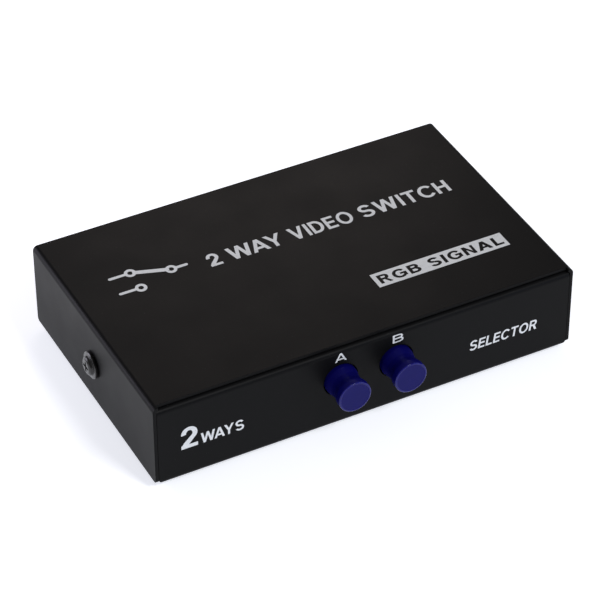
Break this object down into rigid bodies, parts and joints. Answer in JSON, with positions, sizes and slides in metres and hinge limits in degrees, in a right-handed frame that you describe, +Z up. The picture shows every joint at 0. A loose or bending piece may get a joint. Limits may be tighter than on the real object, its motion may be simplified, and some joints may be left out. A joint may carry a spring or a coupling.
{
  "type": "kvm switch",
  "caption": "Flat folded sheet-steel video selector box with protruding round push buttons on its front panel and D-shaped video sockets on its back panel.",
  "frame": {"origin": "bottom centre of the bounding box, on the plane of the feet", "axes": "+X right along the front panel, +Y from the button panel to the socket panel, +Z up"},
  "size_m": [0.136, 0.094, 0.0295],
  "materials": {
    "black_paint": "matte fine-textured paint",
    "black_rubber": "matte",
    "blackened_steel": "black oxide, satin",
    "nickel_plate": "satin nickel",
    "blue_pbt": "moulded satin",
    "board_green": "solder mask",
    "zinc_plate": "bright zinc",
    "spring_steel": "drawn wire",
    "black_nylon": "moulded",
    "white_pom": "moulded satin",
    "blue_abs": "moulded satin"
  },
  "bodies": {
    "case": {"top_cover": "black_paint", "bottom_chassis": "black_paint", "rubber_foot_1": "black_rubber", "rubber_foot_2": "black_rubber", "rubber_foot_3": "black_rubber", "rubber_foot_4": "black_rubber", "cover_screw_left": "blackened_steel", "cover_screw_right": "blackened_steel", "vga_shell_a": "nickel_plate", "vga_insulator_a": "blue_pbt", "vga_shell_out": "nickel_plate", "vga_insulator_out": "blue_pbt", "vga_shell_b": "nickel_plate", "vga_insulator_b": "blue_pbt", "jackscrew_1": "nickel_plate", "jackscrew_2": "nickel_plate", "jackscrew_3": "nickel_plate", "jackscrew_4": "nickel_plate", "jackscrew_5": "nickel_plate", "jackscrew_6": "nickel_plate", "circuit_board": "board_green", "standoff_left": "zinc_plate", "board_screw_left": "zinc_plate", "standoff_right": "zinc_plate", "board_screw_right": "zinc_plate", "switch_bracket": "zinc_plate", "lock_bar_spring": "spring_steel", "switch_body_a": "black_nylon", "return_spring_a": "spring_steel", "switch_body_b": "black_nylon", "return_spring_b": "spring_steel"},
    "button_a": {"plunger_a": "white_pom", "button_cap_a": "blue_abs"},
    "button_b": {"plunger_b": "white_pom", "button_cap_b": "blue_abs"},
    "lock_bar": {"lock_bar": "zinc_plate"}
  },
  "joints": [
    {"name": "button_a_press", "type": "slide", "parent": "case", "child": "button_a", "axis": [0, 1, 0], "range_m": [0, 0.0045], "stiffness_N_per_m": 350, "springref_m": -0.004, "deforming": ["return_spring_a"]},
    {"name": "button_b_press", "type": "slide", "parent": "case", "child": "button_b", "axis": [0, 1, 0], "range_m": [0, 0.0045], "stiffness_N_per_m": 350, "springref_m": -0.004, "deforming": ["return_spring_b"]},
    {"name": "lock_bar_slide", "type": "slide", "parent": "case", "child": "lock_bar", "axis": [1, 0, 0], "range_m": [0, 0.0015], "stiffness_N_per_m": 400, "springref_m": -0.001, "deforming": ["lock_bar_spring"]}
  ]
}
